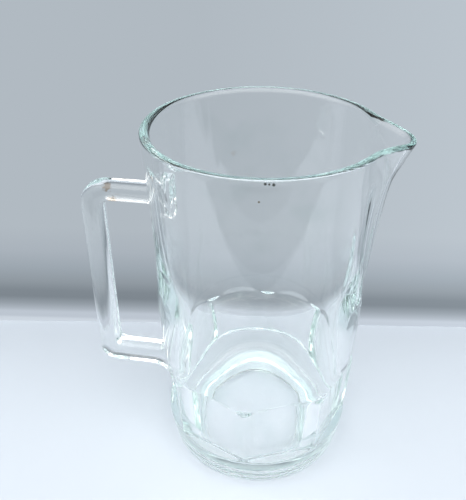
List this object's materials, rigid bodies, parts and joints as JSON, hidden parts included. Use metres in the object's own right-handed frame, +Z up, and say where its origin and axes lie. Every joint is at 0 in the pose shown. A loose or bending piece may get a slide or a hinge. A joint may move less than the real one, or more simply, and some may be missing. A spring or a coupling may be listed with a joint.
{
  "type": "glass pitcher",
  "caption": "Pressed-glass jug with a pouring spout, a bar handle fused opposite it, and flat arched panels round a heavy foot; pours and holds liquids.",
  "frame": {"origin": "on the vessel's axis, in the plane of the ring that the jug stands on", "axes": "+Z up along the vessel's axis, +X towards the spout, the handle on -X"},
  "size_m": [0.171, 0.12, 0.199],
  "materials": {
    "jug_glass": "clear fire-polished soda-lime glass with a faint green tint",
    "handle_glass": "clear fire-polished soda-lime glass with a faint green tint"
  },
  "bodies": {
    "root": {"jug_body": "jug_glass", "handle": "handle_glass"}
  },
  "joints": []
}
